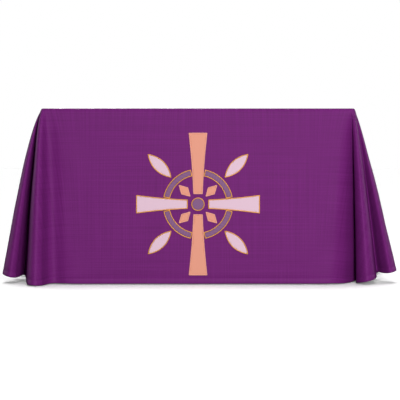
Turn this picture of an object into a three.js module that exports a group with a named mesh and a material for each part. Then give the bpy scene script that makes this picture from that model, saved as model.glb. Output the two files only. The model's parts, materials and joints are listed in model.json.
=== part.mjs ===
// An altar cloth draped over a plain altar table.
// Millimetres, +Z up. The origin is on the floor under the middle of the table, and -Y is the front.
import * as THREE from "three";

// Altar table, all of plain boards
const TABLE = { width: 1710, depth: 800, height: 960, topThickness: 40 };
const TOP_CORNER_RADIUS = 20;
const TOP_EDGE_RADIUS = 12;
const LEG = { size: 90, inset: 140 };
const APRON = { thickness: 25, height: 110 };
const PIECE_GAP = 0.3;

// Cloth sheet
const CLOTH_THICKNESS = 2;
const EDGE_CLEARANCE = 2;
const HEM_ABOVE_FLOOR = 6;
const EDGE_BEND_ANGLES = [0, 35, 68, 90];
const SKIRT_LEVELS = [0.035, 0.09, 0.18, 0.31, 0.48, 0.7, 1];
const FOLD_STEP = 40;
const PANEL_STEP = 330;

// Appliqué patches on the front
const PATCH_THICKNESS = 1.5;
const EMBLEM_HEIGHT_ABOVE_FLOOR = 441;

// The folds at the hem, from the front panel round a front corner to the middle of the end.
// out: past the end face, forward: before the front face, cut: how much shorter the cloth is cut there,
// edge: where the fold starts on the table's edge, from the corner (minus on the front, plus on the end),
// flare: the power by which the fold grows from the edge down to the hem, lower for a quicker start.
const LEFT_FOLDS = [
  { fold: "panel inner", out: -430, forward: 0, cut: 0, flare: 0.7 },
  { fold: "panel end", out: -250, forward: 0, cut: 0, flare: 0.7 },
  { fold: "trough start", out: -140, forward: -2, cut: 0, edge: -84, flare: 0.6 },
  { fold: "shallow trough", out: -74, forward: -22, cut: 0, edge: -42, flare: 0.55 },
  { fold: "front flute foot", out: -46, forward: -4, cut: 0, edge: -28, flare: 0.5 },
  { fold: "front flute flank", out: -26, forward: 38, cut: -3, edge: -19, flare: 0.5 },
  { fold: "front flute side", out: -8, forward: 82, cut: -6, edge: -12, flare: 0.5 },
  { fold: "front flute crown", out: 24, forward: 104, cut: -7, edge: -6, flare: 0.52 },
  { fold: "front flute shoulder", out: 58, forward: 78, cut: -5, edge: -2, flare: 0.56 },
  { fold: "front flute edge", out: 77, forward: 10, cut: 0, edge: 2, flare: 0.62 },
  { fold: "corner valley", out: 112, forward: -190, cut: 8, edge: 8, flare: 0.74 },
  { fold: "corner flute wall", out: 138, forward: -112, cut: 12, edge: 18, flare: 0.72 },
  { fold: "corner flute shoulder", out: 152, forward: -64, cut: 14, edge: 24, flare: 0.72 },
  { fold: "corner flute front", out: 178, forward: -46, cut: 15, edge: 30, flare: 0.72 },
  { fold: "corner flute tip", out: 222, forward: -104, cut: 16, edge: 40, flare: 0.72 },
  { fold: "corner flute back", out: 206, forward: -188, cut: 15, edge: 50, flare: 0.74 },
  { fold: "first end valley", out: -14, forward: -262, cut: 8, edge: 64, flare: 0.74 },
  { fold: "first end flute crown", out: 186, forward: -292, cut: 4, edge: 78, flare: 0.74 },
  { fold: "first end flute back", out: 172, forward: -322, cut: 2, edge: 90, flare: 0.74 },
  { fold: "second end valley", out: -14, forward: -340, cut: 0, edge: 106, flare: 0.74 },
  { fold: "second end flute crown", out: 104, forward: -372, cut: 0, edge: 132, flare: 0.74 },
  { fold: "middle of the end", out: 4, forward: -404, cut: 0, flare: 0.8 },
];
const RIGHT_FOLDS = [
  { fold: "panel inner", out: -430, forward: 0, cut: 0, flare: 0.7 },
  { fold: "panel end", out: -250, forward: 0, cut: 0, flare: 0.7 },
  { fold: "panel roll start", out: -124, forward: -4, cut: 0, edge: -62, flare: 0.7 },
  { fold: "panel roll", out: -62, forward: -38, cut: -2, edge: -42, flare: 0.66 },
  { fold: "tuck side", out: -22, forward: -88, cut: -6, edge: -30, flare: 0.62 },
  { fold: "tuck", out: 22, forward: -158, cut: -13, edge: -22, flare: 0.62 },
  { fold: "front flute side", out: 14, forward: -46, cut: -2, edge: -17, flare: 0.7 },
  { fold: "front flute crown", out: 62, forward: 22, cut: 10, edge: -10, flare: 0.8 },
  { fold: "front flute shoulder", out: 100, forward: 0, cut: 15, edge: -5, flare: 0.86 },
  { fold: "front flute edge", out: 122, forward: -56, cut: 19, edge: 1, flare: 0.86 },
  { fold: "corner valley", out: 138, forward: -173, cut: 26, edge: 8, flare: 0.86 },
  { fold: "corner flute wall", out: 167, forward: -110, cut: 29, edge: 19, flare: 0.86 },
  { fold: "corner flute front", out: 202, forward: -64, cut: 31, edge: 29, flare: 0.88 },
  { fold: "corner flute tip", out: 240, forward: -116, cut: 29, edge: 39, flare: 0.88 },
  { fold: "corner flute back", out: 222, forward: -186, cut: 26, edge: 50, flare: 0.88 },
  { fold: "end valley", out: -16, forward: -240, cut: 10, edge: 64, flare: 0.86 },
  { fold: "end flute crown", out: 174, forward: -292, cut: 0, edge: 82, flare: 0.86 },
  { fold: "end flute back", out: 152, forward: -328, cut: 0, edge: 102, flare: 0.86 },
  { fold: "last end valley", out: -10, forward: -360, cut: 0, edge: 136, flare: 0.86 },
  { fold: "middle of the end", out: 4, forward: -404, cut: 0, flare: 0.8 },
];

// Derived sizes
const CLOTH_TOP = TABLE.height + PIECE_GAP + CLOTH_THICKNESS;
const CLOTH_OFFSET = EDGE_CLEARANCE + CLOTH_THICKNESS;
const HALF_WIDTH = TABLE.width / 2 + CLOTH_OFFSET;
const HALF_DEPTH = TABLE.depth / 2 + CLOTH_OFFSET;
const CORNER_RADIUS = TOP_CORNER_RADIUS + CLOTH_OFFSET;
const BEND_RADIUS = TOP_EDGE_RADIUS + CLOTH_THICKNESS;
const HALF_ARC = (Math.PI / 4) * CORNER_RADIUS;
const HALF_END = HALF_DEPTH - CORNER_RADIUS;
const FRONT_STRAIGHT = 2 * (HALF_WIDTH - CORNER_RADIUS);
const LEFT_CORNER_AT = HALF_END + HALF_ARC;
const RIGHT_CORNER_AT = LEFT_CORNER_AT + 2 * HALF_ARC + FRONT_STRAIGHT;
const HALF_LOOP = RIGHT_CORNER_AT + HALF_ARC + HALF_END;
const DROP = CLOTH_TOP - BEND_RADIUS - HEM_ABOVE_FLOOR;

const clothPurple = new THREE.MeshStandardMaterial({ color: 0x702a6f, roughness: 0.85, metalness: 0 });
const patchPeach = new THREE.MeshStandardMaterial({ color: 0xeea283, roughness: 0.7, metalness: 0 });
const patchLilac = new THREE.MeshStandardMaterial({ color: 0xe2c3db, roughness: 0.7, metalness: 0 });
const patchViolet = new THREE.MeshStandardMaterial({ color: 0x75558c, roughness: 0.7, metalness: 0 });
const tableWood = new THREE.MeshStandardMaterial({ color: 0xb58a5c, roughness: 0.6, metalness: 0 });

const altar = new THREE.Group();

function addPiece(name, geometry, material, x = 0, y = 0, z = 0) {
  const mesh = new THREE.Mesh(geometry, material);
  mesh.name = name;
  mesh.position.set(x, y, z);
  altar.add(mesh);
  return mesh;
}

// Cloth: the table's edge seen from above

// A point on the cloth's outline along the table's edge, and the outward direction there.
// The distance runs from the middle of the left end past the front to the middle of the right end,
// and then on along the back.
function edgePoint(distance) {
  const turns = Math.floor(distance / HALF_LOOP);
  const along = distance - turns * HALF_LOOP;
  const side = turns % 2 === 0 ? 1 : -1;
  const insideX = HALF_WIDTH - CORNER_RADIUS;
  let place;
  let out;
  if (along < HALF_END) {
    place = [-HALF_WIDTH, -along];
    out = [-1, 0];
  } else if (along < HALF_END + 2 * HALF_ARC) {
    const turn = (along - HALF_END) / CORNER_RADIUS;
    out = [-Math.cos(turn), -Math.sin(turn)];
    place = [-insideX + CORNER_RADIUS * out[0], -HALF_END + CORNER_RADIUS * out[1]];
  } else if (along < HALF_END + 2 * HALF_ARC + FRONT_STRAIGHT) {
    place = [-insideX + along - HALF_END - 2 * HALF_ARC, -HALF_DEPTH];
    out = [0, -1];
  } else if (along < HALF_LOOP - HALF_END) {
    const turn = (along - HALF_END - 2 * HALF_ARC - FRONT_STRAIGHT) / CORNER_RADIUS;
    out = [Math.sin(turn), -Math.cos(turn)];
    place = [insideX + CORNER_RADIUS * out[0], -HALF_END + CORNER_RADIUS * out[1]];
  } else {
    place = [HALF_WIDTH, along - HALF_LOOP];
    out = [1, 0];
  }
  return {
    place: new THREE.Vector2(...place).multiplyScalar(side),
    out: new THREE.Vector2(...out).multiplyScalar(side),
  };
}

// How far along the edge from the corner a fold starts: straight above its hem where no edge is given.
function startOnEdge(row) {
  if (row.edge !== undefined) return row.edge;
  if (row.out < -CORNER_RADIUS) return row.out + CORNER_RADIUS - HALF_ARC;
  return HALF_ARC + HALF_END;
}

// Cloth: the hem seen from above

function hemKnots() {
  const left = LEFT_FOLDS.map((row) => ({
    place: new THREE.Vector3(-HALF_WIDTH - row.out, -HALF_DEPTH - row.forward, row.cut),
    start: LEFT_CORNER_AT - startOnEdge(row),
    flare: row.flare,
  })).reverse();
  const right = RIGHT_FOLDS.slice(0, -1).map((row) => ({
    place: new THREE.Vector3(HALF_WIDTH + row.out, -HALF_DEPTH - row.forward, row.cut),
    start: RIGHT_CORNER_AT + startOnEdge(row),
    flare: row.flare,
  }));
  const front = [...left, ...right];
  const back = front.map(({ place, start, flare }) => ({
    place: new THREE.Vector3(-place.x, -place.y, place.z),
    start: start + HALF_LOOP,
    flare,
  }));
  return [...front, ...back];
}

// One station for each generator of the skirt: its start on the table's edge and its foot at the hem.
function hemStations() {
  const knots = hemKnots();
  const hem = new THREE.CatmullRomCurve3(knots.map((knot) => knot.place), true, "centripetal");
  const stations = [];
  knots.forEach((knot, i) => {
    const next = knots[(i + 1) % knots.length];
    const nextStart = next.start + (i + 1 === knots.length ? 2 * HALF_LOOP : 0);
    const flat = knot.place.y === next.place.y && knot.place.x !== next.place.x;
    const steps = Math.ceil(knot.place.distanceTo(next.place) / (flat ? PANEL_STEP : FOLD_STEP));
    for (let k = 0; k < steps; k++) {
      const foot = hem.getPoint((i + k / steps) / knots.length);
      const start = THREE.MathUtils.lerp(knot.start, nextStart, k / steps);
      const flare = THREE.MathUtils.lerp(knot.flare, next.flare, k / steps);
      stations.push({ ...edgePoint(start), foot, flare });
    }
  });
  return stations;
}

// Cloth: rings of points from the flat top over the edge and down to the hem

function bendRing(stations, angle) {
  const turn = THREE.MathUtils.degToRad(angle);
  const inset = BEND_RADIUS * (1 - Math.sin(turn));
  const fall = BEND_RADIUS * (1 - Math.cos(turn));
  return stations.map(({ place, out }) => {
    return new THREE.Vector3(place.x - inset * out.x, place.y - inset * out.y, CLOTH_TOP - fall);
  });
}

// The cloth keeps its length from the edge to the hem, so a fold that flares out ends higher.
// A fold can turn in under the table only below the table top, from the first level down.
function skirtRing(stations, level) {
  const levelBelowTop = (level - SKIRT_LEVELS[0]) / (1 - SKIRT_LEVELS[0]);
  return stations.map(({ place, out, foot, flare }) => {
    const side = new THREE.Vector2(foot.x - place.x, foot.y - place.y);
    const fall = Math.sqrt(DROP * DROP - side.lengthSq()) - foot.z;
    const outward = Math.pow(level, flare);
    const inward = Math.pow(levelBelowTop, flare);
    const turnedIn = Math.min(side.dot(out), 0);
    const plan = place.clone().addScaledVector(side, outward);
    plan.addScaledVector(out, turnedIn * (inward - outward));
    return new THREE.Vector3(plan.x, plan.y, CLOTH_TOP - BEND_RADIUS - fall * level);
  });
}

// The same rings moved in by the cloth's thickness along the surface's normal.
function innerRings(rings) {
  return rings.map((ring, r) => {
    return ring.map((point, s) => {
      if (r === 0) return point.clone().setZ(point.z - CLOTH_THICKNESS);
      const count = ring.length;
      const across = ring[(s + 1) % count].clone().sub(ring[(s + count - 1) % count]);
      const below = rings[Math.min(r + 1, rings.length - 1)][s];
      const down = below.clone().sub(rings[r - 1][s]);
      const normal = down.cross(across).normalize();
      return point.clone().addScaledVector(normal, -CLOTH_THICKNESS);
    });
  });
}

function clothSheet() {
  const stations = hemStations();
  const outer = [
    ...EDGE_BEND_ANGLES.map((angle) => bendRing(stations, angle)),
    ...SKIRT_LEVELS.map((level) => skirtRing(stations, level)),
  ];
  const inner = innerRings(outer);
  const count = stations.length;
  const last = outer.length - 1;
  const points = [...outer.flat(), ...inner.flat()];
  const outerAt = (r, s) => r * count + (s % count);
  const innerAt = (r, s) => (outer.length + r) * count + (s % count);
  const outerTop = points.push(new THREE.Vector3(0, 0, CLOTH_TOP)) - 1;
  const innerTop = points.push(new THREE.Vector3(0, 0, CLOTH_TOP - CLOTH_THICKNESS)) - 1;
  const triangles = [];
  const quad = (a, b, c, d) => triangles.push(a, b, c, a, c, d);
  for (let s = 0; s < count; s++) {
    triangles.push(outerTop, outerAt(0, s), outerAt(0, s + 1));
    triangles.push(innerTop, innerAt(0, s + 1), innerAt(0, s));
    for (let r = 0; r < last; r++) {
      quad(outerAt(r, s), outerAt(r + 1, s), outerAt(r + 1, s + 1), outerAt(r, s + 1));
      quad(innerAt(r, s), innerAt(r, s + 1), innerAt(r + 1, s + 1), innerAt(r + 1, s));
    }
    quad(outerAt(last, s), innerAt(last, s), innerAt(last, s + 1), outerAt(last, s + 1));
  }
  const geometry = new THREE.BufferGeometry().setFromPoints(points);
  geometry.setIndex(triangles);
  geometry.computeVertexNormals();
  return geometry;
}

addPiece("altar_cloth", clothSheet(), clothPurple);

// Table: a board with rounded corners and edges, square legs, and aprons between them

function tableTop() {
  const halfX = TABLE.width / 2 - TOP_EDGE_RADIUS;
  const halfY = TABLE.depth / 2 - TOP_EDGE_RADIUS;
  const radius = TOP_CORNER_RADIUS - TOP_EDGE_RADIUS;
  const outline = new THREE.Shape();
  outline.absarc(halfX - radius, halfY - radius, radius, 0, Math.PI / 2);
  outline.absarc(radius - halfX, halfY - radius, radius, Math.PI / 2, Math.PI);
  outline.absarc(radius - halfX, radius - halfY, radius, Math.PI, Math.PI * 1.5);
  outline.absarc(halfX - radius, radius - halfY, radius, Math.PI * 1.5, Math.PI * 2);
  const board = new THREE.ExtrudeGeometry(outline, {
    depth: TABLE.topThickness - 2 * TOP_EDGE_RADIUS,
    curveSegments: 4,
    bevelSize: TOP_EDGE_RADIUS,
    bevelThickness: TOP_EDGE_RADIUS,
    bevelSegments: 3,
  });
  return board.translate(0, 0, TABLE.height - TABLE.topThickness + TOP_EDGE_RADIUS);
}

addPiece("altar_top", tableTop(), tableWood);

const UNDER_TOP = TABLE.height - TABLE.topThickness - PIECE_GAP;
const LEG_X = TABLE.width / 2 - LEG.inset - LEG.size / 2;
const LEG_Y = TABLE.depth / 2 - LEG.inset - LEG.size / 2;
const SIDES = [
  { name: "left", sign: -1 },
  { name: "right", sign: 1 },
];
const FACES = [
  { name: "front", sign: -1 },
  { name: "back", sign: 1 },
];

for (const face of FACES) {
  for (const side of SIDES) {
    const leg = new THREE.BoxGeometry(LEG.size, LEG.size, UNDER_TOP);
    const name = `altar_leg_${face.name}_${side.name}`;
    addPiece(name, leg, tableWood, side.sign * LEG_X, face.sign * LEG_Y, UNDER_TOP / 2);
  }
}

const APRON_Z = UNDER_TOP - APRON.height / 2;
for (const face of FACES) {
  const length = 2 * LEG_X - LEG.size - 2 * PIECE_GAP;
  const apron = new THREE.BoxGeometry(length, APRON.thickness, APRON.height);
  addPiece(`altar_apron_${face.name}`, apron, tableWood, 0, face.sign * LEG_Y, APRON_Z);
}
for (const side of SIDES) {
  const length = 2 * LEG_Y - LEG.size - 2 * PIECE_GAP;
  const apron = new THREE.BoxGeometry(APRON.thickness, length, APRON.height);
  addPiece(`altar_apron_${side.name}`, apron, tableWood, side.sign * LEG_X, 0, APRON_Z);
}

// Emblem: a ringed cross with petals, cut from three cloths and sewn to the front

const ARM = { rootGap: 58, rootWidth: 46, middleWidth: 58, endWidth: 96 };
const ARMS = [
  { name: "top", turn: 0, length: 386, material: patchPeach },
  { name: "right", turn: -90, length: 335, material: patchLilac },
  { name: "bottom", turn: 180, length: 386, material: patchPeach },
  { name: "left", turn: 90, length: 335, material: patchLilac },
];
const RING = { inner: 158, outer: 190, armGap: 14 };
const PETAL = { start: 208, end: 384, halfWidth: 30 };
const LOZENGE = { start: 62, end: 144, halfWidth: 23 };
const ROUNDEL_RADIUS = 34;
const DIAGONALS = [
  { name: "upper_right", turn: -45 },
  { name: "upper_left", turn: 45 },
  { name: "lower_left", turn: 135 },
  { name: "lower_right", turn: -135 },
];

// A flared arm along +Y with hollowed sides, as a cross with widening arms has.
function armShape(length) {
  const { rootGap, rootWidth, middleWidth, endWidth } = ARM;
  const middle = (rootGap + length) / 2;
  const shape = new THREE.Shape();
  shape.moveTo(rootWidth / 2, rootGap);
  shape.quadraticCurveTo(middleWidth / 2, middle, endWidth / 2, length);
  shape.lineTo(-endWidth / 2, length);
  shape.quadraticCurveTo(-middleWidth / 2, middle, -rootWidth / 2, rootGap);
  shape.closePath();
  return shape;
}

// An arc of the ring about +Y that stops short of the two arms beside it.
function ringShape() {
  const middle = (RING.inner + RING.outer) / 2;
  const armHalf = ARM.rootWidth / 2 + RING.armGap;
  const half = Math.PI / 4 - Math.asin(armHalf / middle);
  const shape = new THREE.Shape();
  shape.absarc(0, 0, RING.outer, Math.PI / 2 - half, Math.PI / 2 + half, false);
  shape.absarc(0, 0, RING.inner, Math.PI / 2 + half, Math.PI / 2 - half, true);
  shape.closePath();
  return shape;
}

// A pointed petal along +Y.
function petalShape() {
  const middle = (PETAL.start + PETAL.end) / 2;
  const shape = new THREE.Shape();
  shape.moveTo(0, PETAL.start);
  shape.quadraticCurveTo(2 * PETAL.halfWidth, middle, 0, PETAL.end);
  shape.quadraticCurveTo(-2 * PETAL.halfWidth, middle, 0, PETAL.start);
  return shape;
}

function lozengeShape() {
  const middle = (LOZENGE.start + LOZENGE.end) / 2;
  const shape = new THREE.Shape();
  shape.moveTo(0, LOZENGE.start);
  shape.lineTo(LOZENGE.halfWidth, middle);
  shape.lineTo(0, LOZENGE.end);
  shape.lineTo(-LOZENGE.halfWidth, middle);
  shape.closePath();
  return shape;
}

function roundelShape() {
  const shape = new THREE.Shape();
  shape.absarc(0, 0, ROUNDEL_RADIUS, 0, 2 * Math.PI);
  return shape;
}

// A patch lies on the front panel, turned about the middle of the emblem.
function addPatch(name, shape, turn, material) {
  const patch = new THREE.ExtrudeGeometry(shape, {
    depth: PATCH_THICKNESS,
    bevelEnabled: false,
    curveSegments: 12,
  });
  patch.rotateZ(THREE.MathUtils.degToRad(turn)).rotateX(Math.PI / 2);
  addPiece(name, patch, material, 0, -HALF_DEPTH - PIECE_GAP, EMBLEM_HEIGHT_ABOVE_FLOOR);
}

for (const arm of ARMS) addPatch(`emblem_arm_${arm.name}`, armShape(arm.length), arm.turn, arm.material);
for (const diagonal of DIAGONALS) {
  addPatch(`emblem_ring_${diagonal.name}`, ringShape(), diagonal.turn, patchViolet);
  addPatch(`emblem_petal_${diagonal.name}`, petalShape(), diagonal.turn, patchLilac);
  addPatch(`emblem_lozenge_${diagonal.name}`, lozengeShape(), diagonal.turn, patchPeach);
}
addPatch("emblem_roundel", roundelShape(), 0, patchViolet);

export default altar;
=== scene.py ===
import json
import math
from collections import namedtuple

import bmesh
import bpy
import numpy as np
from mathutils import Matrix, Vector, noise
from mathutils.geometry import delaunay_2d_cdt

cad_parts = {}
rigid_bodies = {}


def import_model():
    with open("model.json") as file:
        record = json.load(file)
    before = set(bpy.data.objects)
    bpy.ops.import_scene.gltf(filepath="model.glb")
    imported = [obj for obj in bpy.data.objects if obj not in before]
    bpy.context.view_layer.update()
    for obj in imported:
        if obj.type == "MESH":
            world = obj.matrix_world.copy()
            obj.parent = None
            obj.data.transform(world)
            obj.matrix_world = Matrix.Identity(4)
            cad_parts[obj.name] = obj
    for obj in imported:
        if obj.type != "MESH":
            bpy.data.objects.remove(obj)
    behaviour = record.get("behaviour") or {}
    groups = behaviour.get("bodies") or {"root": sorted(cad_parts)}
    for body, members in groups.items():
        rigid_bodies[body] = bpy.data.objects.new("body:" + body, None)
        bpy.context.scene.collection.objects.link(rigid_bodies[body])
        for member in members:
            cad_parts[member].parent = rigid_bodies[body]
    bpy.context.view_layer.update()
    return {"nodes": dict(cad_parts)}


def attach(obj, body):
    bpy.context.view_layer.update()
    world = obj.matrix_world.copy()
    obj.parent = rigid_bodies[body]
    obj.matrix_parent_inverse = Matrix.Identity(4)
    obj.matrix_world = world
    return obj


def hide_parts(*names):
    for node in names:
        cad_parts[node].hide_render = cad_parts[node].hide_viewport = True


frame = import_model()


# Altar table
# A plain table that the cloth hides: a thick top board, square legs, and aprons between the legs.
# It is oak with an oiled finish, glued and screwed from underneath.

OAK_DARK = (0.270, 0.150, 0.068, 1)
OAK_LIGHT = (0.450, 0.285, 0.150, 1)
OAK_RINGS_PER_METRE = 34
OAK_GRAIN_STRETCH = 0.06
OAK_PORES_PER_METRE = 900
OAK_PORE_DEPTH = 0.0006
OAK_TONE_RANGE = (0.36, 0.66)
OAK_ROUGHNESS = (0.42, 0.62)


def add_node(material, kind, **sockets):
    """A shader node with some of its inputs set by name, spaces written as underscores."""
    node = material.node_tree.nodes.new(kind)
    for name, value in sockets.items():
        node.inputs[name.replace("_", " ")].default_value = value
    return node


def join(material, start, end):
    material.node_tree.links.new(start, end)


def new_material(name):
    material = bpy.data.materials.new(name)
    material.use_nodes = True
    return material, material.node_tree.nodes["Principled BSDF"]


def oiled_oak(name, along):
    """Oak whose grain runs along one axis: 0 for X, 1 for Y, 2 for Z."""
    material, surface = new_material(name)
    place = add_node(material, "ShaderNodeTexCoord")
    stretch = [1.0, 1.0, 1.0]
    stretch[along] = OAK_GRAIN_STRETCH
    grain_place = add_node(material, "ShaderNodeMapping", Scale=stretch)
    join(material, place.outputs["Object"], grain_place.inputs["Vector"])
    rings = add_node(material, "ShaderNodeTexNoise", Scale=OAK_RINGS_PER_METRE, Detail=5.0, Distortion=0.9)
    join(material, grain_place.outputs["Vector"], rings.inputs["Vector"])
    pores = add_node(material, "ShaderNodeTexNoise", Scale=OAK_PORES_PER_METRE, Detail=2.0)
    join(material, grain_place.outputs["Vector"], pores.inputs["Vector"])
    tone = add_node(material, "ShaderNodeValToRGB")
    tone.color_ramp.elements[0].position = OAK_TONE_RANGE[0]
    tone.color_ramp.elements[0].color = OAK_DARK
    tone.color_ramp.elements[1].position = OAK_TONE_RANGE[1]
    tone.color_ramp.elements[1].color = OAK_LIGHT
    join(material, rings.outputs["Fac"], tone.inputs["Fac"])
    join(material, tone.outputs["Color"], surface.inputs["Base Color"])
    rough_low, rough_high = OAK_ROUGHNESS
    wear = add_node(material, "ShaderNodeMapRange", To_Min=rough_low, To_Max=rough_high)
    join(material, rings.outputs["Fac"], wear.inputs["Value"])
    join(material, wear.outputs["Result"], surface.inputs["Roughness"])
    relief = add_node(material, "ShaderNodeBump", Strength=0.25, Distance=OAK_PORE_DEPTH)
    join(material, pores.outputs["Fac"], relief.inputs["Height"])
    join(material, relief.outputs["Normal"], surface.inputs["Normal"])
    return material


oak_along_x = oiled_oak("oak_along_x", 0)
oak_along_y = oiled_oak("oak_along_y", 1)
oak_along_z = oiled_oak("oak_along_z", 2)
TABLE_BOARDS = [
    ("altar_top", oak_along_x),
    ("altar_apron_front", oak_along_x),
    ("altar_apron_back", oak_along_x),
    ("altar_apron_left", oak_along_y),
    ("altar_apron_right", oak_along_y),
    ("altar_leg_front_left", oak_along_z),
    ("altar_leg_front_right", oak_along_z),
    ("altar_leg_back_left", oak_along_z),
    ("altar_leg_back_right", oak_along_z),
]
for board_name, oak in TABLE_BOARDS:
    board = frame["nodes"][board_name]
    board.data.materials.clear()
    board.data.materials.append(oak)


# Altar cloth
# One sheet of purple cloth with slubs in its weave, cut with rounded corners and hemmed all round.
# It lies loose over the table top and hangs to just above the floor, in deep flutes at the corners.
# The fold tables are in millimetres, as the solid has them, and the mesh is in metres.

MM = 0.001
CLOTH_TOP = 962.3
CLOTH_THICKNESS = 2.0
HALF_WIDTH = 859.0
HALF_DEPTH = 404.0
CORNER_RADIUS = 24.0
BEND_RADIUS = 14.0
HEM_ABOVE_FLOOR = 6.0
UNDER_TOP_LEVEL = 0.035
HEM_DEPTH = 28.0
HEM_RAISE = 0.5
STITCH_SINK = 0.7
FOLD_STEP = 9.0
PANEL_STEP = 42.0
SKIRT_ROWS = 40
SKIRT_CROWDING = 1.25
TOP_INSETS = (9.0,)
BEND_ANGLES = (0, 18, 36, 54, 72, 90)

# Each fold: where its hem lies out from the end and forward of the front, how much shorter it is cut,
# where it starts along the table's edge from the corner, and how fast it flares.
Fold = namedtuple("Fold", "name out forward cut edge flare")
STRAIGHT_ABOVE = None
LEFT_FOLDS = [
    Fold("panel inner", -430, 0, 0, STRAIGHT_ABOVE, 0.7),
    Fold("panel end", -250, 0, 0, STRAIGHT_ABOVE, 0.7),
    Fold("trough start", -140, -2, 0, -84, 0.6),
    Fold("shallow trough", -74, -22, 0, -42, 0.55),
    Fold("front flute foot", -46, -4, 0, -28, 0.5),
    Fold("front flute flank", -26, 38, -3, -19, 0.5),
    Fold("front flute side", -8, 82, -6, -12, 0.5),
    Fold("front flute crown", 24, 104, -7, -6, 0.52),
    Fold("front flute shoulder", 58, 78, -5, -2, 0.56),
    Fold("front flute edge", 77, 10, 0, 2, 0.62),
    Fold("corner valley", 112, -190, 8, 8, 0.74),
    Fold("corner flute wall", 138, -112, 12, 18, 0.72),
    Fold("corner flute shoulder", 152, -64, 14, 24, 0.72),
    Fold("corner flute front", 178, -46, 15, 30, 0.72),
    Fold("corner flute tip", 222, -104, 16, 40, 0.72),
    Fold("corner flute back", 206, -188, 15, 50, 0.74),
    Fold("first end valley", -14, -262, 8, 64, 0.74),
    Fold("first end flute crown", 186, -292, 4, 78, 0.74),
    Fold("first end flute back", 172, -322, 2, 90, 0.74),
    Fold("second end valley", -14, -340, 0, 106, 0.74),
    Fold("second end flute crown", 104, -372, 0, 132, 0.74),
    Fold("middle of the end", 4, -404, 0, STRAIGHT_ABOVE, 0.8),
]
RIGHT_FOLDS = [
    Fold("panel inner", -430, 0, 0, STRAIGHT_ABOVE, 0.7),
    Fold("panel end", -250, 0, 0, STRAIGHT_ABOVE, 0.7),
    Fold("panel roll start", -124, -4, 0, -62, 0.7),
    Fold("panel roll", -62, -38, -2, -42, 0.66),
    Fold("tuck side", -22, -88, -6, -30, 0.62),
    Fold("tuck", 22, -158, -13, -22, 0.62),
    Fold("front flute side", 14, -46, -2, -17, 0.7),
    Fold("front flute crown", 62, 22, 10, -10, 0.8),
    Fold("front flute shoulder", 100, 0, 15, -5, 0.86),
    Fold("front flute edge", 122, -56, 19, 1, 0.86),
    Fold("corner valley", 138, -173, 26, 8, 0.86),
    Fold("corner flute wall", 167, -110, 29, 19, 0.86),
    Fold("corner flute front", 202, -64, 31, 29, 0.88),
    Fold("corner flute tip", 240, -116, 29, 39, 0.88),
    Fold("corner flute back", 222, -186, 26, 50, 0.88),
    Fold("end valley", -16, -240, 10, 64, 0.86),
    Fold("end flute crown", 174, -292, 0, 82, 0.86),
    Fold("end flute back", 152, -328, 0, 102, 0.86),
    Fold("last end valley", -10, -360, 0, 136, 0.86),
    Fold("middle of the end", 4, -404, 0, STRAIGHT_ABOVE, 0.8),
]

half_arc = math.pi / 4 * CORNER_RADIUS
half_end = HALF_DEPTH - CORNER_RADIUS
front_straight = 2 * (HALF_WIDTH - CORNER_RADIUS)
left_corner_at = half_end + half_arc
right_corner_at = left_corner_at + 2 * half_arc + front_straight
half_loop = right_corner_at + half_arc + half_end
drop = CLOTH_TOP - BEND_RADIUS - HEM_ABOVE_FLOOR


def edge_point(distance):
    """A point on the table's edge in plan and the outward direction there.

    The distance runs from the middle of the left end along the front, the right end and the back.
    """
    turns, along = divmod(distance, half_loop)
    side = 1 if turns % 2 == 0 else -1
    inside_x = HALF_WIDTH - CORNER_RADIUS
    if along < half_end:
        place = (-HALF_WIDTH, -along)
        out = (-1, 0)
    elif along < half_end + 2 * half_arc:
        turn = (along - half_end) / CORNER_RADIUS
        out = (-math.cos(turn), -math.sin(turn))
        place = (-inside_x + CORNER_RADIUS * out[0], -half_end + CORNER_RADIUS * out[1])
    elif along < half_end + 2 * half_arc + front_straight:
        place = (-inside_x + along - half_end - 2 * half_arc, -HALF_DEPTH)
        out = (0, -1)
    elif along < half_loop - half_end:
        turn = (along - half_end - 2 * half_arc - front_straight) / CORNER_RADIUS
        out = (math.sin(turn), -math.cos(turn))
        place = (inside_x + CORNER_RADIUS * out[0], -half_end + CORNER_RADIUS * out[1])
    else:
        place = (HALF_WIDTH, along - half_loop)
        out = (1, 0)
    return side * np.array(place), side * np.array(out)


def start_on_edge(fold):
    """How far from the corner a fold starts along the table's edge."""
    if fold.edge is not STRAIGHT_ABOVE:
        return fold.edge
    if fold.out < -CORNER_RADIUS:
        return fold.out + CORNER_RADIUS - half_arc
    return half_arc + half_end


# A knot is where a fold ends at the hem, where it starts on the edge, and which way its threads fall:
# straight down the front or an end, or turning between the two in the rounded corner of the cloth.
Knot = namedtuple("Knot", "hem start flare fall")


def fall_angles(folds, front_angle, end_angle):
    """The direction of the cloth's fall below each fold, spread round the corner by length of hem."""
    plan = np.array([(fold.out, fold.forward) for fold in folds], float)
    lengths = np.concatenate([[0], np.cumsum(np.hypot(*np.diff(plan, axis=0).T))])
    panel_end = 1
    share = np.clip((lengths - lengths[panel_end]) / (lengths[-1] - lengths[panel_end]), 0, 1)
    return front_angle + share * (end_angle - front_angle)


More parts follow.
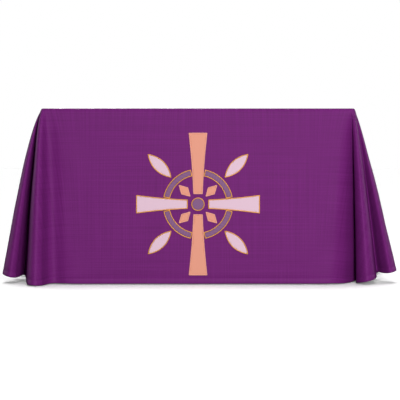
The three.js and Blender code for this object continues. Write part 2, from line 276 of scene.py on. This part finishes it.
def hem_knots():
    down_front, down_left, down_right = -math.pi / 2, -math.pi, 0.0
    knots = []
    left_fall = fall_angles(LEFT_FOLDS, down_front, down_left)
    for fold, fall in reversed(list(zip(LEFT_FOLDS, left_fall))):
        hem = np.array((-HALF_WIDTH - fold.out, -HALF_DEPTH - fold.forward, fold.cut), float)
        knots.append(Knot(hem, left_corner_at - start_on_edge(fold), fold.flare, fall))
    right_fall = fall_angles(RIGHT_FOLDS, down_front, down_right)
    for fold, fall in list(zip(RIGHT_FOLDS, right_fall))[:-1]:
        hem = np.array((HALF_WIDTH + fold.out, -HALF_DEPTH - fold.forward, fold.cut), float)
        knots.append(Knot(hem, right_corner_at + start_on_edge(fold), fold.flare, fall))
    half_turn = np.array((-1, -1, 1))
    back = [Knot(k.hem * half_turn, k.start + half_loop, k.flare, k.fall + math.pi) for k in knots]
    return knots + back


SMALLEST_SPAN = 1e-6


def smooth_between(before, start, end, after, share):
    """A point on the smooth curve through four knots, between the middle two."""
    spans = ((before, start), (start, end), (end, after))
    first, middle, last = [max(np.linalg.norm(b - a), SMALLEST_SPAN) ** 0.5 for a, b in spans]
    leave = (start - before) / first - (end - before) / (first + middle) + (end - start) / middle
    arrive = (end - start) / middle - (after - start) / (middle + last) + (after - end) / last
    leave, arrive = leave * middle, arrive * middle
    square = -3 * start + 3 * end - 2 * leave - arrive
    cube = 2 * start - 2 * end + leave + arrive
    return start + share * (leave + share * (square + share * cube))


Station = namedtuple("Station", "place out hem flare fall")


def hem_stations():
    """One station for each thread line of the skirt, from the table's edge to the hem."""
    knots = hem_knots()
    count = len(knots)
    stations = []
    for i, knot in enumerate(knots):
        after = knots[(i + 1) % count]
        lap = 1 if i + 1 == count else 0
        next_start = after.start + lap * 2 * half_loop
        next_fall = after.fall + lap * 2 * math.pi
        level_row = knot.hem[1] == after.hem[1] and knot.hem[0] != after.hem[0]
        span = np.linalg.norm(after.hem - knot.hem)
        steps = math.ceil(span / (PANEL_STEP if level_row else FOLD_STEP))
        ends = (knots[i - 1].hem, knot.hem, after.hem, knots[(i + 2) % count].hem)
        for k in range(steps):
            share = k / steps
            start = knot.start + share * (next_start - knot.start)
            place, out = edge_point(start)
            hem = smooth_between(*ends, share)
            flare = knot.flare + share * (after.flare - knot.flare)
            fall = knot.fall + share * (next_fall - knot.fall)
            stations.append(Station(place, out, hem, flare, fall))
    return stations


stations = hem_stations()
places = np.array([s.place for s in stations])
outs = np.array([s.out for s in stations])
hems = np.array([s.hem for s in stations])
flares = np.array([s.flare for s in stations])
falls = np.array([s.fall for s in stations])
thread_ways = np.stack([np.cos(falls), np.sin(falls)], axis=1)


def top_ring(inset):
    plan = places - outs * (BEND_RADIUS + inset)
    return np.column_stack([plan, np.full(len(plan), CLOTH_TOP)])


def bend_ring(angle):
    turn = math.radians(angle)
    plan = places - outs * BEND_RADIUS * (1 - math.sin(turn))
    return np.column_stack([plan, np.full(len(plan), CLOTH_TOP - BEND_RADIUS * (1 - math.cos(turn)))])


def skirt_ring(level):
    """The cloth keeps its length down to the hem, so a fold that flares out ends higher."""
    side = hems[:, :2] - places
    fall = np.sqrt(drop**2 - (side**2).sum(1)) - hems[:, 2]
    outward = level**flares
    inward = max(level - UNDER_TOP_LEVEL, 0) / (1 - UNDER_TOP_LEVEL)
    turned_in = np.minimum((side * outs).sum(1), 0) * (inward**flares - outward)
    plan = places + side * outward[:, None] + outs * turned_in[:, None]
    return np.column_stack([plan, CLOTH_TOP - BEND_RADIUS - fall * level])


# The rows of the hem lie above its stitching, on it, below it, above the edge, and on the edge.
HEM_ROWS = (1.12, 1.0, 0.88, 0.12, 0.0)
ROW_CLEARANCE = 0.01
hem_levels = [1 - HEM_DEPTH / drop * part for part in HEM_ROWS]
skirt_levels = [(row / SKIRT_ROWS) ** SKIRT_CROWDING for row in range(1, SKIRT_ROWS)]
skirt_levels = [level for level in skirt_levels if level < hem_levels[0] - ROW_CLEARANCE] + hem_levels
rings = [top_ring(inset) for inset in TOP_INSETS]
rings += [bend_ring(angle) for angle in BEND_ANGLES]
rings += [skirt_ring(level) for level in skirt_levels]
outer = np.array(rings)
skirt_from = len(TOP_INSETS) + len(BEND_ANGLES)

# The sharp turn where a flute leaves the table's edge is eased along each thread line.
EASE_FROM_BEND = 3
EASE_ROWS = 9
EASE_PASSES = 6
ease = range(len(TOP_INSETS) + EASE_FROM_BEND, skirt_from + EASE_ROWS)
for _ in range(EASE_PASSES):
    eased = outer.copy()
    for row in ease:
        eased[row] = (outer[row - 1] + 2 * outer[row] + outer[row + 1]) / 4
    outer = eased


def outward_normals(grid):
    across = np.roll(grid, -1, axis=1) - np.roll(grid, 1, axis=1)
    down = np.empty_like(grid)
    down[1:-1] = grid[2:] - grid[:-2]
    down[0] = grid[1] - grid[0]
    down[-1] = grid[-1] - grid[-2]
    normals = np.cross(down, across)
    return normals / np.linalg.norm(normals, axis=2, keepdims=True)


# The flat cut of the cloth: each thread line runs from the table's edge in the direction it falls.
lengths_down = np.zeros(outer.shape[:2])
lengths_down[1:] = np.cumsum(np.linalg.norm(np.diff(outer, axis=0), axis=2), axis=0)
lengths_down -= lengths_down[len(TOP_INSETS)]
flat_start = places - outs * BEND_RADIUS
flat_top = outer[: len(TOP_INSETS), :, :2]
flat = flat_start[None] + thread_ways[None] * np.maximum(lengths_down, 0)[..., None]
flat[: len(TOP_INSETS)] = flat_top

# Slow unevenness in the hang of the skirt, which dies out at the table's edge and behind the emblem.
SWAY = 3.2
SWAY_LENGTH = 210.0
SWAY_FULL_FROM = 0.3
EMBLEM_HALF_WIDTH = 420.0
EMBLEM_FADE = 200.0
normals = outward_normals(outer)
for row, level in enumerate(skirt_levels, start=skirt_from):
    for column in range(len(stations)):
        spot = Vector((*flat[row, column], 0)) / SWAY_LENGTH
        strength = min(level / SWAY_FULL_FROM, 1)
        if hems[column, 1] < 0:
            strength *= np.clip((abs(hems[column, 0]) - EMBLEM_HALF_WIDTH) / EMBLEM_FADE, 0, 1)
        outer[row, column] += normals[row, column] * noise.noise(spot) * SWAY * strength

# The hem is turned up inside, so its edge is a little thicker and its stitching sinks in.
normals = outward_normals(outer)
HEM_RELIEF = (0.0, -STITCH_SINK, HEM_RAISE, HEM_RAISE, 0.0)
for row, relief in zip(range(len(outer) - len(HEM_RELIEF), len(outer)), HEM_RELIEF):
    outer[row] += normals[row] * relief

normals = outward_normals(outer)
inner = outer - normals * CLOTH_THICKNESS
inner[: len(TOP_INSETS) + 1] = outer[: len(TOP_INSETS) + 1] - np.array((0, 0, CLOTH_THICKNESS))

ring_count, station_count = outer.shape[:2]
layers = [outer * MM, inner * MM]
cloth_mesh = bmesh.new()
points = [[[cloth_mesh.verts.new(p) for p in ring] for ring in layer] for layer in layers]
weave_map = cloth_mesh.loops.layers.uv.new("cloth_weave")
bake_map = cloth_mesh.loops.layers.uv.new("OFBake")
flat_low = flat.reshape(-1, 2).min(0)
flat_size = flat.reshape(-1, 2).max(0) - flat_low
BAKE_MARGIN = 0.006
BAKE_SCALES = (0.985, 0.30)
BAKE_PLACES = ((BAKE_MARGIN, BAKE_MARGIN), (BAKE_MARGIN, 0.76))


def place_on_maps(face, corners, layer):
    """Where each corner of a face lies on the flat cut, in metres, and on the baking map."""
    for loop, (ring, station) in zip(face.loops, corners):
        spot = flat[ring, station]
        loop[weave_map].uv = spot * MM
        shared = (spot - flat_low) / flat_size[0] * BAKE_SCALES[layer]
        loop[bake_map].uv = shared + np.array(BAKE_PLACES[layer])


def add_cloth_face(corners, layer, flip, smooth=True):
    corners = corners[::-1] if flip else corners
    face = cloth_mesh.faces.new([points[layer][r][s] for r, s in corners])
    face.smooth = smooth
    place_on_maps(face, corners, layer)


for layer, flip in ((0, False), (1, True)):
    add_cloth_face([(0, s) for s in range(station_count)], layer, flip, smooth=False)
    for r in range(ring_count - 1):
        for s in range(station_count):
            n = (s + 1) % station_count
            add_cloth_face([(r, s), (r + 1, s), (r + 1, n), (r, n)], layer, flip)

rim_ring = ring_count - 1
for s in range(station_count):
    n = (s + 1) % station_count
    rim = cloth_mesh.faces.new(
        [points[0][rim_ring][s], points[1][rim_ring][s], points[1][rim_ring][n], points[0][rim_ring][n]]
    )
    rim.smooth = True
    place_on_maps(rim, [(rim_ring, s), (rim_ring, s), (rim_ring, n), (rim_ring, n)], 0)

cloth_data = bpy.data.meshes.new("altar_cloth_sheet")
cloth_mesh.to_mesh(cloth_data)
cloth_mesh.free()
altar_cloth = bpy.data.objects.new("altar_cloth_sheet", cloth_data)
bpy.context.scene.collection.objects.link(altar_cloth)

PURPLE_LOW = (0.147, 0.0132, 0.147, 1)
PURPLE_HIGH = (0.205, 0.0218, 0.211, 1)
HIGHLIGHT_TINT = (1, 0.55, 1, 1)
SLUB_LENGTH = 1.6
SLUB_FINENESS = 150.0
SLUB_RANGE = (0.72, 1.28)
CLOTH_ROUGHNESS = (0.44, 0.56)
CLOTH_SHINE = 0.13
THREAD_PITCH = 0.0011
THREAD_RELIEF = 0.25
WEAVE_DEPTH = 0.0008
# The bands of a wave texture lie this far apart when its scale is 1.
BAND_SPACING = 2 * math.pi / 20


def slub_cloth():
    """Plain weave with long thick-and-thin yarns both ways, read from the flat cut in metres."""
    material, surface = new_material("purple_slub_cloth")
    cut = add_node(material, "ShaderNodeUVMap")
    cut.uv_map = "cloth_weave"
    slubs = []
    for stretch in ((SLUB_LENGTH, SLUB_FINENESS, 1), (SLUB_FINENESS, SLUB_LENGTH, 1)):
        spread = add_node(material, "ShaderNodeMapping", Scale=stretch)
        join(material, cut.outputs["UV"], spread.inputs["Vector"])
        slub = add_node(material, "ShaderNodeTexNoise", Scale=1.0, Detail=4.0, Roughness=0.62)
        join(material, spread.outputs["Vector"], slub.inputs["Vector"])
        slubs.append(slub)
    crossed = add_node(material, "ShaderNodeMath")
    crossed.operation = "ADD"
    join(material, slubs[0].outputs["Fac"], crossed.inputs[0])
    join(material, slubs[1].outputs["Fac"], crossed.inputs[1])
    thin, thick = SLUB_RANGE
    tone = add_node(material, "ShaderNodeMapRange", From_Min=thin, From_Max=thick)
    join(material, crossed.outputs["Value"], tone.inputs["Value"])
    colour = add_node(material, "ShaderNodeValToRGB")
    colour.color_ramp.elements[0].color = PURPLE_LOW
    colour.color_ramp.elements[1].color = PURPLE_HIGH
    join(material, tone.outputs["Result"], colour.inputs["Fac"])
    join(material, colour.outputs["Color"], surface.inputs["Base Color"])
    threads = []
    for direction in ("X", "Y"):
        scale = BAND_SPACING / THREAD_PITCH
        yarn = add_node(material, "ShaderNodeTexWave", Scale=scale, Distortion=1.5, Detail=1.0)
        yarn.bands_direction = direction
        join(material, cut.outputs["UV"], yarn.inputs["Vector"])
        threads.append(yarn)
    weave = add_node(material, "ShaderNodeMath")
    weave.operation = "ADD"
    join(material, threads[0].outputs["Fac"], weave.inputs[0])
    join(material, threads[1].outputs["Fac"], weave.inputs[1])
    relief = add_node(material, "ShaderNodeMath")
    relief.operation = "MULTIPLY_ADD"
    relief.inputs[1].default_value = THREAD_RELIEF
    join(material, weave.outputs["Value"], relief.inputs[0])
    join(material, crossed.outputs["Value"], relief.inputs[2])
    bump = add_node(material, "ShaderNodeBump", Strength=0.35, Distance=WEAVE_DEPTH)
    join(material, relief.outputs["Value"], bump.inputs["Height"])
    join(material, bump.outputs["Normal"], surface.inputs["Normal"])
    rough = add_node(material, "ShaderNodeMapRange", From_Min=thin, From_Max=thick)
    rough.inputs["To Min"].default_value, rough.inputs["To Max"].default_value = CLOTH_ROUGHNESS
    join(material, crossed.outputs["Value"], rough.inputs["Value"])
    join(material, rough.outputs["Result"], surface.inputs["Roughness"])
    surface.inputs["Specular IOR Level"].default_value = CLOTH_SHINE
    surface.inputs["Specular Tint"].default_value = HIGHLIGHT_TINT
    return material


cloth_data.materials.append(slub_cloth())
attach(altar_cloth, "root")
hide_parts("altar_cloth")


# Emblem
# A ringed cross with petals, cut from peach, lilac and violet cloth and sewn flat to the front.
# Each patch is lightly padded. Gold cord is couched round the lilac and violet ones, and the peach
# ones have an edge of satin stitch in their own colour.

EMBLEM_HEIGHT = 0.441
PATCH_BACK = -0.4043
EDGE_HEIGHT = 0.0006
PADDED_HEIGHT = 0.0017
PAD_ROUNDING = 0.007
PAD_STEP = 0.007
PAD_EDGE_MARGIN = 0.45 * PAD_STEP
OUTLINE_STEP = 0.0026

ARM_ROOT_GAP = 0.058
ARM_ROOT_WIDTH = 0.046
ARM_MIDDLE_WIDTH = 0.058
ARM_END_WIDTH = 0.096
RING_INNER = 0.158
RING_OUTER = 0.190
RING_ARM_GAP = 0.014
PETAL_START = 0.208
PETAL_END = 0.384
PETAL_HALF_WIDTH = 0.030
LOZENGE_START = 0.062
LOZENGE_END = 0.144
LOZENGE_HALF_WIDTH = 0.023
ROUNDEL_RADIUS = 0.034


def line_points(start, end):
    start, end = np.array(start, float), np.array(end, float)
    count = max(1, math.ceil(np.linalg.norm(end - start) / OUTLINE_STEP))
    return start + np.arange(count)[:, None] / count * (end - start)


def bowed_points(start, control, end):
    """A side of a patch that bows towards its control point."""
    start, control, end = (np.array(p, float) for p in (start, control, end))
    count = math.ceil(np.linalg.norm(end - start) / OUTLINE_STEP)
    share = np.arange(count)[:, None] / count
    return (1 - share) ** 2 * start + 2 * share * (1 - share) * control + share**2 * end


def arc_points(radius, start, end):
    count = math.ceil(abs(end - start) * radius / OUTLINE_STEP)
    turn = start + np.arange(count) / count * (end - start)
    return radius * np.column_stack([np.cos(turn), np.sin(turn)])


def arm_outline(length):
    root, end = ARM_ROOT_WIDTH / 2, ARM_END_WIDTH / 2
    waist = (ARM_MIDDLE_WIDTH / 2, (ARM_ROOT_GAP + length) / 2)
    return np.concatenate([
        bowed_points((root, ARM_ROOT_GAP), waist, (end, length)),
        line_points((end, length), (-end, length)),
        bowed_points((-end, length), (-waist[0], waist[1]), (-root, ARM_ROOT_GAP)),
        line_points((-root, ARM_ROOT_GAP), (root, ARM_ROOT_GAP)),
    ])


def ring_outline():
    middle = (RING_INNER + RING_OUTER) / 2
    half = math.pi / 4 - math.asin((ARM_ROOT_WIDTH / 2 + RING_ARM_GAP) / middle)
    low, high = math.pi / 2 - half, math.pi / 2 + half
    outer_side = arc_points(RING_OUTER, low, high)
    inner_side = arc_points(RING_INNER, high, low)
    outer_end = RING_OUTER * np.array((math.cos(high), math.sin(high)))
    inner_end = RING_INNER * np.array((math.cos(low), math.sin(low)))
    return np.concatenate([
        outer_side, line_points(outer_end, inner_side[0]), inner_side, line_points(inner_end, outer_side[0])
    ])


def petal_outline():
    middle = (PETAL_START + PETAL_END) / 2
    return np.concatenate([
        bowed_points((0, PETAL_START), (2 * PETAL_HALF_WIDTH, middle), (0, PETAL_END)),
        bowed_points((0, PETAL_END), (-2 * PETAL_HALF_WIDTH, middle), (0, PETAL_START)),
    ])


def lozenge_outline():
    middle = (LOZENGE_START + LOZENGE_END) / 2
    tips = [(0, LOZENGE_START), (LOZENGE_HALF_WIDTH, middle), (0, LOZENGE_END), (-LOZENGE_HALF_WIDTH, middle)]
    return np.concatenate([line_points(tips[i], tips[(i + 1) % 4]) for i in range(4)])


def on_front(points, heights, turn):
    """Points of a patch, turned about the middle of the emblem, at a height above the patch's back."""
    angle = math.radians(turn)
    x = points[:, 0] * math.cos(angle) - points[:, 1] * math.sin(angle)
    z = points[:, 0] * math.sin(angle) + points[:, 1] * math.cos(angle)
    return np.column_stack([x, PATCH_BACK - heights, EMBLEM_HEIGHT + z])


def distance_to(points, outline):
    """How far each point is from a closed outline."""
    starts, sides = outline, np.roll(outline, -1, axis=0) - outline
    away = points[:, None] - starts[None]
    share = np.clip((away * sides).sum(2) / (sides**2).sum(1), 0, 1)
    return np.linalg.norm(away - share[..., None] * sides, axis=2).min(1)


INSIDE_THE_OUTLINE = 1
MERGE_DISTANCE = 1e-6


def padded_patch(name, outline, turn, material):
    """A closed patch: a flat back, a thin edge and a front that rises from the edge as padding does."""
    low, high = outline.min(0), outline.max(0)
    columns = np.arange(low[0], high[0], PAD_STEP)
    rows = np.arange(low[1], high[1], PAD_STEP)
    inside = np.array([(x, y) for y in rows for x in columns])
    inside = inside[distance_to(inside, outline) > PAD_EDGE_MARGIN]
    spots = [Vector(p) for p in np.concatenate([outline, inside])]
    rim = list(range(len(outline)))
    flat_points, _, triangles, *_ = delaunay_2d_cdt(
        spots, [], [rim], INSIDE_THE_OUTLINE, MERGE_DISTANCE
    )
    flat_points = np.array([tuple(p) for p in flat_points])
    rise = np.clip(distance_to(flat_points, outline) / PAD_ROUNDING, 0, 1)
    heights = EDGE_HEIGHT + (PADDED_HEIGHT - EDGE_HEIGHT) * np.sin(rise * math.pi / 2)
    front = on_front(flat_points, heights, turn)
    back = on_front(outline, np.zeros(len(outline)), turn)
    edge_row = [int(np.argmin(((flat_points - p) ** 2).sum(1))) for p in outline]
    mesh = bpy.data.meshes.new(name)
    first_back = len(front)
    faces = [tuple(face) for face in triangles]
    for i in rim:
        after = (i + 1) % len(rim)
        faces.append((edge_row[i], first_back + i, first_back + after, edge_row[after]))
    faces.append(tuple(first_back + i for i in reversed(rim)))
    mesh.from_pydata(np.concatenate([front, back]).tolist(), [], faces)
    flat_all = np.concatenate([flat_points, outline])
    stitch_map = mesh.uv_layers.new(name="stitch")
    for loop in mesh.loops:
        stitch_map.data[loop.index].uv = flat_all[loop.vertex_index]
    mesh.polygons.foreach_set("use_smooth", [i < len(triangles) for i in range(len(mesh.polygons))])
    mesh.materials.append(material)
    patch = bpy.data.objects.new(name, mesh)
    bpy.context.scene.collection.objects.link(patch)
    return patch


CORD_SIDES = 8


def sewn_edge(name, outline, turn, half_width, height, twist, strands, material):
    """A cord or a band of satin stitch along the outline of a patch, half on it and half on the cloth."""
    ahead, behind = np.roll(outline, -1, axis=0), np.roll(outline, 1, axis=0)
    along = (ahead - behind) / np.linalg.norm(ahead - behind, axis=1, keepdims=True)
    aside = np.column_stack([along[:, 1], -along[:, 0]])
    steps = np.linalg.norm(ahead - outline, axis=1)
    distance = np.concatenate([[0], np.cumsum(steps)[:-1]])
    turns = max(1, round(steps.sum() / twist)) / steps.sum()
    rings = []
    for side in range(CORD_SIDES):
        angle = 2 * math.pi * side / CORD_SIDES
        bulge = 1 - strands * (1 - np.cos(2 * angle - 2 * math.pi * turns * distance)) / 2
        flat_points = outline + aside * (half_width * bulge * math.cos(angle))[:, None]
        rings.append(on_front(flat_points, height / 2 * (1 + bulge * math.sin(angle)), turn))
    points = np.stack(rings, axis=1).reshape(-1, 3)
    count = len(outline)
    faces = []
    for i in range(count):
        for side in range(CORD_SIDES):
            right = (side + 1) % CORD_SIDES
            after = (i + 1) % count
            corners = ((i, side), (after, side), (after, right), (i, right))
            faces.append([ring * CORD_SIDES + k for ring, k in corners])
    mesh = bpy.data.meshes.new(name)
    mesh.from_pydata(points.tolist(), [], faces)
    mesh.polygons.foreach_set("use_smooth", [True] * len(faces))
    mesh.materials.append(material)
    cord = bpy.data.objects.new(name, mesh)
    bpy.context.scene.collection.objects.link(cord)
    return cord


RIB_DEPTH = 0.0004
PATCH_ROUGHNESS = 0.6
PATCH_SHINE = 0.3


def ribbed_cloth(name, dark, light, rib, slant):
    """Filled stitching in ribs of two close tones; the slant turns the ribs on the patch, in degrees."""
    material, surface = new_material(name)
    stitch = add_node(material, "ShaderNodeUVMap")
    stitch.uv_map = "stitch"
    ribs_way = add_node(material, "ShaderNodeMapping", Rotation=(0, 0, math.radians(slant)))
    join(material, stitch.outputs["UV"], ribs_way.inputs["Vector"])
    ribs = add_node(material, "ShaderNodeTexWave", Scale=BAND_SPACING / rib, Distortion=0.6, Detail=1.0)
    ribs.bands_direction = "Y"
    join(material, ribs_way.outputs["Vector"], ribs.inputs["Vector"])
    tone = add_node(material, "ShaderNodeValToRGB")
    tone.color_ramp.elements[0].color = dark
    tone.color_ramp.elements[1].color = light
    join(material, ribs.outputs["Fac"], tone.inputs["Fac"])
    join(material, tone.outputs["Color"], surface.inputs["Base Color"])
    relief = add_node(material, "ShaderNodeBump", Strength=0.4, Distance=RIB_DEPTH)
    join(material, ribs.outputs["Fac"], relief.inputs["Height"])
    join(material, relief.outputs["Normal"], surface.inputs["Normal"])
    surface.inputs["Roughness"].default_value = PATCH_ROUGHNESS
    surface.inputs["Specular IOR Level"].default_value = PATCH_SHINE
    return material


def thread(name, colour, roughness, metallic):
    material, surface = new_material(name)
    surface.inputs["Base Color"].default_value = colour
    surface.inputs["Roughness"].default_value = roughness
    surface.inputs["Metallic"].default_value = metallic
    return material


PEACH_DARK = (0.87, 0.352, 0.240, 1)
PEACH = (0.95, 0.395, 0.275, 1)
LILAC_DARK = (0.83, 0.57, 0.70, 1)
LILAC = (0.92, 0.65, 0.785, 1)
VIOLET_DARK = (0.200, 0.078, 0.205, 1)
VIOLET = (0.295, 0.130, 0.300, 1)
GOLD = (0.78, 0.34, 0.055, 1)
FINE_RIB = 0.0022
COARSE_RIB = 0.008
peach_cloth = ribbed_cloth("peach_stitching", PEACH_DARK, PEACH, FINE_RIB, slant=0)
lilac_cloth = ribbed_cloth("lilac_stitching", LILAC_DARK, LILAC, FINE_RIB, slant=0)
violet_cloth = ribbed_cloth("violet_hatching", VIOLET_DARK, VIOLET, COARSE_RIB, slant=35)
gold_thread = thread("gold_thread", GOLD, roughness=0.42, metallic=0.25)
peach_thread = thread("peach_thread", PEACH, roughness=0.55, metallic=0.0)

Edging = namedtuple("Edging", "half_width height twist strands material slot")
GOLD_CORD = Edging(0.0031, 0.0046, 0.0085, 0.22, gold_thread, "gold_thread")
SATIN_EDGE = Edging(0.0032, 0.0026, 0.004, 0.05, peach_thread, "patch_peach")

Patch = namedtuple("Patch", "name outline turn cloth slot edging")
PEACH_PATCH = (peach_cloth, "patch_peach", SATIN_EDGE)
LILAC_PATCH = (lilac_cloth, "patch_lilac", GOLD_CORD)
VIOLET_PATCH = (violet_cloth, "patch_violet", GOLD_CORD)
ARM_LONG = 0.386
ARM_SHORT = 0.335
patches = [
    Patch("emblem_arm_top", arm_outline(ARM_LONG), 0, *PEACH_PATCH),
    Patch("emblem_arm_right", arm_outline(ARM_SHORT), -90, *LILAC_PATCH),
    Patch("emblem_arm_bottom", arm_outline(ARM_LONG), 180, *PEACH_PATCH),
    Patch("emblem_arm_left", arm_outline(ARM_SHORT), 90, *LILAC_PATCH),
    Patch("emblem_roundel", arc_points(ROUNDEL_RADIUS, 0, 2 * math.pi), 0, *VIOLET_PATCH),
]
DIAGONALS = {"upper_right": -45, "upper_left": 45, "lower_left": 135, "lower_right": -135}
for corner, turn in DIAGONALS.items():
    patches.append(Patch(f"emblem_ring_{corner}", ring_outline(), turn, *VIOLET_PATCH))
    patches.append(Patch(f"emblem_petal_{corner}", petal_outline(), turn, *LILAC_PATCH))
    patches.append(Patch(f"emblem_lozenge_{corner}", lozenge_outline(), turn, *PEACH_PATCH))

for patch in patches:
    piece = padded_patch(f"{patch.name}_padded", patch.outline, patch.turn, patch.cloth)
    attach(piece, "root")
    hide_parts(patch.name)
    edging = patch.edging
    edge = sewn_edge(f"{patch.name}_edge", patch.outline, patch.turn, *edging[:-1])
    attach(edge, "root")


# Studio
# A pale floor that runs on without an edge, under a faint dome of light. One light stands in front, weaker
# ones stand at the back and the sides, and others from above light the cloth or only the floor.
# The camera stands in front of the altar, a little below its top, with a long lens.

FLOOR_SIZE = 60.0
FLOOR_WHITE = (0.95, 0.95, 0.95, 1)
FLOOR_ROUGHNESS = 0.9
FLOOR_GLOW = 0.14
FLOOR_BOUNCE = (0.05, 0.05, 0.05, 1)
floor_data = bpy.data.meshes.new("studio_floor")
half_floor = FLOOR_SIZE / 2
floor_corners = [(x * half_floor, y * half_floor, 0) for x, y in ((-1, -1), (1, -1), (1, 1), (-1, 1))]
floor_data.from_pydata(floor_corners, [], [(0, 1, 2, 3)])
floor = bpy.data.objects.new("studio_floor", floor_data)
bpy.context.scene.collection.objects.link(floor)
floor_material, floor_surface = new_material("pale_floor")
floor_surface.inputs["Base Color"].default_value = FLOOR_WHITE
floor_surface.inputs["Roughness"].default_value = FLOOR_ROUGHNESS
floor_surface.inputs["Emission Color"].default_value = (1, 1, 1, 1)
floor_surface.inputs["Emission Strength"].default_value = FLOOR_GLOW
floor_dim = add_node(floor_material, "ShaderNodeBsdfDiffuse", Color=FLOOR_BOUNCE)
floor_seen = add_node(floor_material, "ShaderNodeLightPath")
floor_mix = add_node(floor_material, "ShaderNodeMixShader")
join(floor_material, floor_seen.outputs["Is Camera Ray"], floor_mix.inputs["Fac"])
join(floor_material, floor_dim.outputs["BSDF"], floor_mix.inputs[1])
join(floor_material, floor_surface.outputs["BSDF"], floor_mix.inputs[2])
floor_output = floor_material.node_tree.nodes["Material Output"]
join(floor_material, floor_mix.outputs["Shader"], floor_output.inputs["Surface"])
floor_data.materials.append(floor_material)

DOME_FILL = 0.03
DOME_SEEN = 1.0
world = bpy.data.worlds.new("studio_dome")
bpy.context.scene.world = world
world.use_nodes = True
dome = world.node_tree.nodes["Background"]
dome.inputs["Color"].default_value = (1, 1, 1, 1)
dome_seen = add_node(world, "ShaderNodeLightPath")
dome_level = add_node(world, "ShaderNodeMapRange", To_Min=DOME_FILL, To_Max=DOME_SEEN)
join(world, dome_seen.outputs["Is Camera Ray"], dome_level.inputs["Value"])
join(world, dome_level.outputs["Result"], dome.inputs["Strength"])


LIGHT_AIM = Vector((0.0, 0.0, 0.5))
AreaLight = namedtuple("AreaLight", "name place width height power receivers")
SkyLight = namedtuple("SkyLight", "name energy width lean receivers")
EVERYTHING = None


def add_area_light(lamp):
    data = bpy.data.lights.new(lamp.name, "AREA")
    data.shape = "RECTANGLE"
    data.size = lamp.width
    data.size_y = lamp.height
    data.energy = lamp.power
    light = bpy.data.objects.new(lamp.name, data)
    light.location = lamp.place
    light.rotation_euler = (LIGHT_AIM - Vector(lamp.place)).to_track_quat("-Z", "Y").to_euler()
    light.light_linking.receiver_collection = lamp.receivers
    bpy.context.scene.collection.objects.link(light)


def add_sky_light(lamp):
    """A wide soft light from above. It leans from behind the altar, or from in front if negative."""
    data = bpy.data.lights.new(lamp.name, "SUN")
    data.energy = lamp.energy
    data.angle = math.radians(lamp.width)
    light = bpy.data.objects.new(lamp.name, data)
    light.rotation_euler = (math.radians(-lamp.lean), 0, 0)
    light.light_linking.receiver_collection = lamp.receivers
    bpy.context.scene.collection.objects.link(light)


floor_only = bpy.data.collections.new("floor_only")
floor_only.objects.link(floor)
part_only = bpy.data.collections.new("part_only")
for piece in bpy.context.scene.objects:
    if piece.type == "MESH" and piece is not floor:
        part_only.objects.link(piece)
add_area_light(AreaLight("front_light", (1.4, -7.9, 1.6), 1.6, 1.2, 492, EVERYTHING))
SKY_LIGHTS = [
    SkyLight("overhead_light", 1.1, 40, 0, part_only),
    SkyLight("floor_back_light", 1.8, 28, 12, floor_only),
    SkyLight("floor_front_light", 1.1, 16, -48, floor_only),
    SkyLight("floor_fill", 0.38, 150, 0, floor_only),
]
for lamp in SKY_LIGHTS:
    add_sky_light(lamp)
OUTER_LIGHTS = [
    AreaLight("back_light", (-1.5, 8.0, 3.0), 3.0, 2.0, 480, part_only),
    AreaLight("left_light", (-7.5, 2.6, 2.4), 2.0, 2.0, 130, part_only),
    AreaLight("right_light", (7.5, 2.6, 2.4), 2.0, 2.0, 130, part_only),
]
for lamp in OUTER_LIGHTS:
    add_area_light(lamp)

CAMERA_PLACE = Vector((0.011, -8.404, 0.80))
CAMERA_AIM = Vector((0.011, -0.404, 0.464))
VIEW_WIDTH = 2.18
SENSOR_WIDTH = 36.0
VIEW_DEPTH = 200.0
camera_data = bpy.data.cameras.new("camera")
camera = bpy.data.objects.new("camera", camera_data)
camera.location = CAMERA_PLACE
line_of_sight = CAMERA_AIM - CAMERA_PLACE
camera.rotation_euler = line_of_sight.to_track_quat("-Z", "Y").to_euler()
camera_data.sensor_width = SENSOR_WIDTH
camera_data.lens = SENSOR_WIDTH * line_of_sight.length / VIEW_WIDTH
camera_data.clip_end = VIEW_DEPTH
bpy.context.scene.collection.objects.link(camera)
bpy.context.scene.camera = camera
bpy.context.scene.view_settings.view_transform = "Standard"
